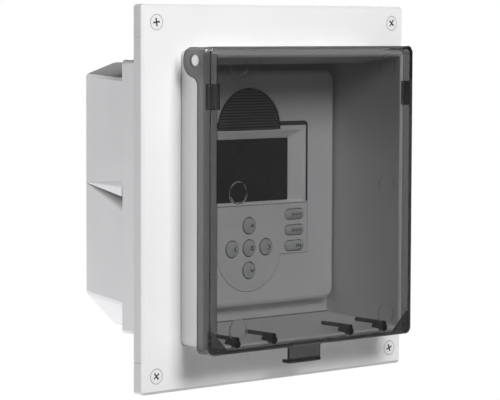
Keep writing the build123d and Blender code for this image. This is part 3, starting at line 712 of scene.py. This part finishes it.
keyCap = {
    "radius": 4.88, "halfLong": 7.85, "halfTall": 2.98, "front": 18.2, "shoulder": 19.5, "back": 24.6,
    "crownPower": 2.1, "rimRound": 0.35, "columns": 64, "rows": 14, "rimRows": 6, "smooth": 35}


def sideOf(values):
    # -1, 0 or 1; what is 0 but for rounding counts as 0
    return np.sign(np.round(values, 9))


def keyOutline(halfStraight, radius, count):
    # a round or long key's outline: a circle whose right and left halves move out by halfStraight
    angle = np.linspace(0, 2 * np.pi, count, endpoint=False)
    return radius * np.cos(angle) + halfStraight * sideOf(np.cos(angle)), radius * np.sin(angle)


def crownAt(share):
    # the cap's front in Y: a dome, front + (shoulder - front) * share ** crownPower, with share 0 in the
    # middle and 1 at the rim
    fall = keyCap["shoulder"] - keyCap["front"]
    return keyCap["front"] + fall * np.clip(share, 0, 1) ** keyCap["crownPower"]


def makeKeyCap(name, x, z, halfStraight, radius):
    # The key with its domed cap: the outline shrinks towards the middle as the dome rises, turns over a
    # small round at the rim, and runs straight back to where the key meets the mat.
    across, up = keyOutline(halfStraight, radius, keyCap["columns"])
    turn = np.linspace(0, np.pi / 2, keyCap["rimRows"])
    rimShare = keyCap["rimRound"] / radius
    dome = np.linspace(0, 1, keyCap["rows"])[:-1] * (1 - rimShare)
    share = np.concatenate([dome, 1 - rimShare * (1 - np.sin(turn)), [1.0, 0.0]])
    rim = crownAt(1 - rimShare) + keyCap["rimRound"] * (1 - np.cos(turn))
    depth = np.concatenate([crownAt(dome), rim, [keyCap["back"], keyCap["back"]]])
    middle = sideOf(across) * halfStraight
    rings = np.empty((share.size, across.size, 3))
    rings[..., 0] = x + middle + (across - middle) * share[:, None]
    rings[..., 1] = depth[:, None]
    rings[..., 2] = z + up * share[:, None]
    return tidyMesh(gridMesh(name, rings * mm, keys), keyCap["smooth"])


ribbon = {"steps": 6, "lift": 0.04, "depth": 0.15, "sharpest": 0.35}


def inkRibbon(name, points, width, x, z, halfStraight, radius, closed=False):
    # A printed mark: a flat ribbon along a few points. Its sides lie half the width to the left and right of
    # the path, drawn out at corners, and its four edges follow the key's dome, a lift above it and a depth
    # below it.
    points = np.array(points, float)
    ends = np.concatenate([points[1:], points[:1]]) if closed else points[1:]
    steps = np.linspace(0, 1, ribbon["steps"], endpoint=False)
    runs = [start + steps[:, None] * (end - start) for start, end in zip(points, ends)]
    points = np.concatenate(runs if closed else [*runs, points[-1:]])
    ahead = np.roll(points, -1, axis=0) - points
    behind = points - np.roll(points, 1, axis=0)
    if not closed:
        ahead[-1], behind[0] = behind[-1], ahead[0]
    ahead, behind = (v / np.linalg.norm(v, axis=1, keepdims=True) for v in (ahead, behind))
    along = (ahead + behind) / np.linalg.norm(ahead + behind, axis=1, keepdims=True)
    side = np.stack([-along[:, 1], along[:, 0]], axis=1)
    stretch = 1 / np.clip(np.sum(along * ahead, axis=1, keepdims=True), ribbon["sharpest"], 1)
    left, right = points + side * stretch * width / 2, points - side * stretch * width / 2
    section = []
    for edge, drop in ((left, -ribbon["lift"]), (right, -ribbon["lift"]), (right, ribbon["depth"]),
                       (left, ribbon["depth"])):
        share = np.hypot(np.maximum(np.abs(edge[:, 0]) - halfStraight, 0), edge[:, 1]) / radius
        section.append(np.stack([x + edge[:, 0], crownAt(share) + drop, z + edge[:, 1]], axis=1))
    rings = np.stack(section, axis=1)
    if closed:
        rings = np.concatenate([rings, rings[:1]])
    piece = gridMesh(name, rings * mm, ink)
    if not closed:
        work = bmesh.new()
        work.from_mesh(piece.data)
        openEdges = [edge for edge in work.edges if edge.is_boundary]
        bmesh.ops.holes_fill(work, edges=openEdges, sides=rings.shape[1])
        work.to_mesh(piece.data)
        work.free()
    return tidyMesh(piece)


def keyMiddle(node):
    low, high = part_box(node)
    return (low.x + high.x) / 2 / mm, (low.z + high.z) / 2 / mm


def standForKey(piece, node):
    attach(piece, node)
    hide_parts(node)


roundMarks = {
    "across": 1.35, "width": 0.75, "ring": 1.2, "ringPoints": 12,
    "arrow": [[-0.8, 1.6], [0.9, 0.0], [-0.8, -1.6]],
    "headings": {"key_up": 90, "key_left": 180, "key_right": 0, "key_down": 270, "key_centre": None}}
for node, heading in roundMarks["headings"].items():
    x, z = keyMiddle(node)
    standForKey(makeKeyCap(node + "_cap", x, z, 0.0, keyCap["radius"]), node)
    if heading is None:
        angle = np.linspace(0, 2 * np.pi, roundMarks["ringPoints"], endpoint=False)
        points = roundMarks["ring"] * np.stack([np.cos(angle), np.sin(angle)], axis=1)
    else:
        turn = math.radians(heading)
        tip = np.array(roundMarks["arrow"])
        points = np.stack([tip[:, 0] * math.cos(turn) - tip[:, 1] * math.sin(turn),
                           tip[:, 0] * math.sin(turn) + tip[:, 1] * math.cos(turn)], axis=1)
    mark = inkRibbon(node + "_mark", points + (roundMarks["across"], 0), roundMarks["width"], x, z, 0.0,
                     keyCap["radius"], closed=heading is None)
    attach(mark, node)

pillMarks = {
    "end": 4.1, "pitch": 1.7, "halfTall": 0.95, "width": 0.8,
    "bars": {"key_pill_top": 5, "key_pill_middle": 5, "key_pill_bottom": 3}}
halfStraight = keyCap["halfLong"] - keyCap["halfTall"]
for node, bars in pillMarks["bars"].items():
    x, z = keyMiddle(node)
    standForKey(makeKeyCap(node + "_cap", x, z, halfStraight, keyCap["halfTall"]), node)
    for bar in range(bars):
        across, tall = pillMarks["end"] - pillMarks["pitch"] * bar, pillMarks["halfTall"]
        mark = inkRibbon(f"{node}_mark{bar + 1}", [(across, -tall), (across, tall)], pillMarks["width"], x, z,
                         halfStraight, keyCap["halfTall"])
        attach(mark, node)
print("key caps and marks made")

for side, sign in (("left", -1), ("right", 1)):
    makeCreaseSkin("side_crease_" + side, sign, crease)
print("creases of the rear box made")


# Floor, backdrop, lamps and camera

floor = {
    "height": -0.30, "radius": 6.0, "firstRing": 0.2, "rings": 14, "columns": 72, "fadeFrom": 0.80,
    "fadeTo": 1.04, "tone": 0.64, "toneRun": 0.01, "pale": 0.5, "rough": 0.9, "specular": 0.1,
    "grain": {"Scale": 60.0, "Detail": 3.0}}
room = {
    "ambient": 0.03, "front": 0.20, "behind": 1.0, "glassFrom": -0.2, "glassTo": 0.2, "glossBehind": 0.35,
    "glossFrom": -0.25, "glossTo": 0.6}


def seenRoom(tree, heading, path):
    # How bright the far room looks: 1 to the camera; through glass and in gloss it is a pale backdrop behind
    # the object, which dims towards the studio in front. heading is the unit direction from the origin.
    back = splitAxes(tree, heading)["Y"]
    through = addRange(tree, back, room["glassFrom"], room["glassTo"], room["front"], room["behind"])
    gloss = addRange(tree, back, room["glossFrom"], room["glossTo"], room["front"], room["glossBehind"])
    inGloss = addMath(tree, "MULTIPLY", path.outputs["Is Glossy Ray"], gloss)
    inGlass = addMath(tree, "MULTIPLY", path.outputs["Is Transmission Ray"], through)
    return addMath(tree, "MAXIMUM", path.outputs["Is Camera Ray"], addMath(tree, "MAXIMUM", inGloss, inGlass))


def seenDirect(tree, path):
    # 1 for rays that come from the camera, also through glass
    return addMath(tree, "MAXIMUM", path.outputs["Is Camera Ray"], path.outputs["Is Transmission Ray"])


def seenAtAll(tree, path):
    # 1 for rays that show the room, 0 for those that only carry its light
    return addMath(tree, "MAXIMUM", seenDirect(tree, path), path.outputs["Is Glossy Ray"])


def makeFloor():
    # a disc: rings of points at growing radius, all at one height
    radius = np.concatenate([[0.0], np.geomspace(floor["firstRing"], floor["radius"], floor["rings"])])
    angle = np.linspace(0, 2 * np.pi, floor["columns"], endpoint=False)
    rings = np.empty((radius.size, angle.size, 3))
    rings[..., 0] = radius[:, None] * np.cos(angle)
    rings[..., 1] = radius[:, None] * np.sin(angle)
    rings[..., 2] = floor["height"]
    material, tree, shader = startMaterial("paleFloor")
    place = addNode(tree, "ShaderNodeTexCoord").outputs["Object"]
    grain = addTexture(tree, "ShaderNodeTexNoise", place, floor["grain"])
    low, high = floor["tone"] - floor["toneRun"], floor["tone"] + floor["toneRun"]
    tree.links.new(addBlend(tree, grain.outputs["Fac"], (low,) * 3, (high,) * 3), shader.inputs["Base Color"])
    shader.inputs["Roughness"].default_value = floor["rough"]
    shader.inputs["Specular IOR Level"].default_value = floor["specular"]
    reach = addNode(tree, "ShaderNodeVectorMath", operation="LENGTH")
    away = addNode(tree, "ShaderNodeVectorMath", operation="NORMALIZE")
    for node in (reach, away):
        tree.links.new(place, node.inputs[0])
    fade = addRange(tree, reach.outputs["Value"], floor["fadeFrom"], floor["fadeTo"], 0.0, 1.0)
    path = addNode(tree, "ShaderNodeLightPath")
    white = addNode(tree, "ShaderNodeEmission", sockets={"Color": (1, 1, 1, 1)})
    tree.links.new(seenRoom(tree, away.outputs["Vector"], path), white.inputs["Strength"])
    near = addMath(tree, "MULTIPLY", seenDirect(tree, path), floor["pale"])
    far = addMath(tree, "MULTIPLY", fade, seenAtAll(tree, path))
    mix = addNode(tree, "ShaderNodeMixShader")
    tree.links.new(addMath(tree, "MAXIMUM", near, far), mix.inputs["Fac"])
    tree.links.new(shader.outputs["BSDF"], mix.inputs[1])
    tree.links.new(white.outputs["Emission"], mix.inputs[2])
    tree.links.new(mix.outputs["Shader"], tree.nodes["Material Output"].inputs["Surface"])
    piece = tidyMesh(gridMesh("floor", rings, material))
    if piece.data.polygons[0].normal.z < 0:
        piece.data.flip_normals()


def makeWorld():
    # What is seen comes from seenRoom; the light itself is a low even level.
    world = bpy.data.worlds.new("room")
    world.use_nodes = True
    scene.world = world
    tree = world.node_tree
    background = tree.nodes["Background"]
    path = addNode(tree, "ShaderNodeLightPath")
    seen = seenRoom(tree, addNode(tree, "ShaderNodeTexCoord").outputs["Generated"], path)
    litOnly = addMath(tree, "SUBTRACT", 1.0, seenAtAll(tree, path))
    strength = addMath(tree, "ADD", seen, addMath(tree, "MULTIPLY", litOnly, room["ambient"]))
    background.inputs["Color"].default_value = (1, 1, 1, 1)
    tree.links.new(strength, background.inputs["Strength"])


lamps = {
    "key": {"place": (-0.189, -1.074, 0.708), "aim": (0, 0, 0), "size": (0.50, 0.44), "power": 17.1},
    "bounce": {
        "place": (-0.25, 0.38, -0.28), "aim": (-0.25, 0.38, 0.5), "size": (0.8, 0.6), "power": 1.7,
        "colour": (0.98, 0.98, 1.0)},
    "left": {
        "place": (-1.12, 0.32, -0.10), "aim": (-0.07, 0.03, 0), "size": (0.7, 0.5), "power": 5.2,
        "colour": (0.975, 0.977, 1.0)},
    "rear": {
        "place": (0.92, 0.88, 0.0), "aim": (0, 0.04, 0), "size": (0.8, 0.6), "power": 8.0,
        "seenThrough": False}}


def aimedMatrix(place, aim):
    # stands at place with its back axis away from aim and its top axis as near upright as can be
    back = (Vector(place) - Vector(aim)).normalized()
    side = Vector((0, 0, 1)).cross(back)
    side = side.normalized() if side.length > 1e-6 else Vector((1, 0, 0))
    turned = Matrix((side, back.cross(side), back)).transposed().to_4x4()
    return Matrix.Translation(place) @ turned


def makeLamps():
    for name, lamp in lamps.items():
        light = bpy.data.lights.new(name, "AREA")
        light.shape = "RECTANGLE"
        light.size, light.size_y = lamp["size"]
        light.energy = lamp["power"]
        light.color = lamp.get("colour", (1, 1, 1))
        piece = bpy.data.objects.new(name, light)
        piece.matrix_world = aimedMatrix(lamp["place"], lamp["aim"])
        piece.visible_camera = False
        piece.visible_transmission = lamp.get("seenThrough", True)
        scene.collection.objects.link(piece)


cameraView = {
    "lens": 167.50, "sensor": 36.0, "place": (-0.93663, -1.04258, 0.09929), "azimuth": 41.447, "down": 4.243,
    "roll": 0.188, "nearest": 0.05, "farthest": 30.0}


def makeCamera():
    # right, top and back axes from the azimuth, the dip and a slight roll of the photographed frame
    azimuth, down, roll = (math.radians(cameraView[key]) for key in ("azimuth", "down", "roll"))
    ahead = Vector((math.sin(azimuth) * math.cos(down), math.cos(azimuth) * math.cos(down), -math.sin(down)))
    level = Vector((math.cos(azimuth), -math.sin(azimuth), 0))
    top = level.cross(ahead)
    side = level * math.cos(roll) + top * math.sin(roll)
    top = top * math.cos(roll) - level * math.sin(roll)
    data = bpy.data.cameras.new("camera")
    data.lens = cameraView["lens"]
    data.sensor_width = cameraView["sensor"]
    data.sensor_fit = "HORIZONTAL"
    data.clip_start = cameraView["nearest"]
    data.clip_end = cameraView["farthest"]
    piece = bpy.data.objects.new("camera", data)
    turned = Matrix((side, top, -ahead)).transposed().to_4x4()
    piece.matrix_world = Matrix.Translation(cameraView["place"]) @ turned
    scene.collection.objects.link(piece)
    scene.camera = piece


makeFloor()
makeWorld()
makeLamps()
makeCamera()
scene.view_settings.view_transform = "Standard"
print("floor, room, lamps and camera set")
